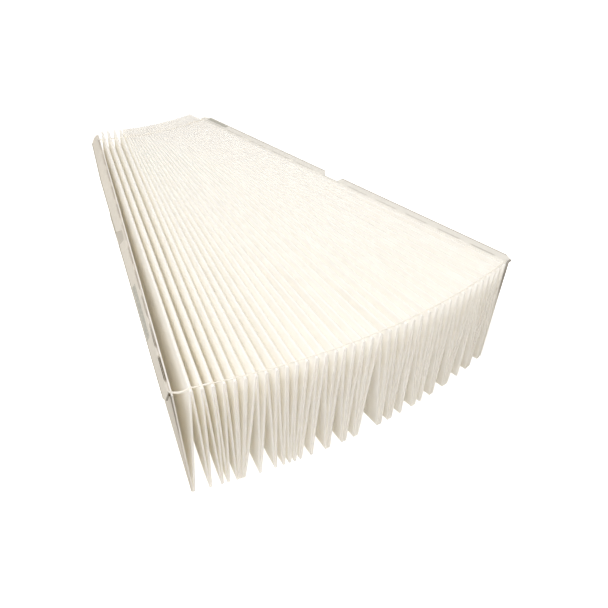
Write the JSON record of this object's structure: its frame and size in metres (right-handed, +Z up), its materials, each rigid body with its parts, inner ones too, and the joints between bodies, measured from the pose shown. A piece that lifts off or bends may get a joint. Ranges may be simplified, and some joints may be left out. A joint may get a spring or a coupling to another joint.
{
  "type": "pleated panel air filter",
  "caption": "Deep pleated air filter media pack with folded card end strips, stood fanned out; its valley folds rest on a surface.",
  "frame": {"origin": "under the middle of the bounding box, level with the valley folds it stands on", "axes": "+Z up from the valley folds to the ridges, +Y along the pleats from the wide end of the fan to its narrow end, +X from the left card strip to the right one"},
  "size_m": [0.39, 0.52, 0.1279],
  "materials": {
    "media": "matt nonwoven",
    "card": "uncoated",
    "hot_melt": "glossy"
  },
  "bodies": {
    "root": {"pleated_media": "media", "end_card_left": "card", "end_card_right": "card", "front_strand": "hot_melt", "rear_strand": "hot_melt"}
  },
  "joints": []
}
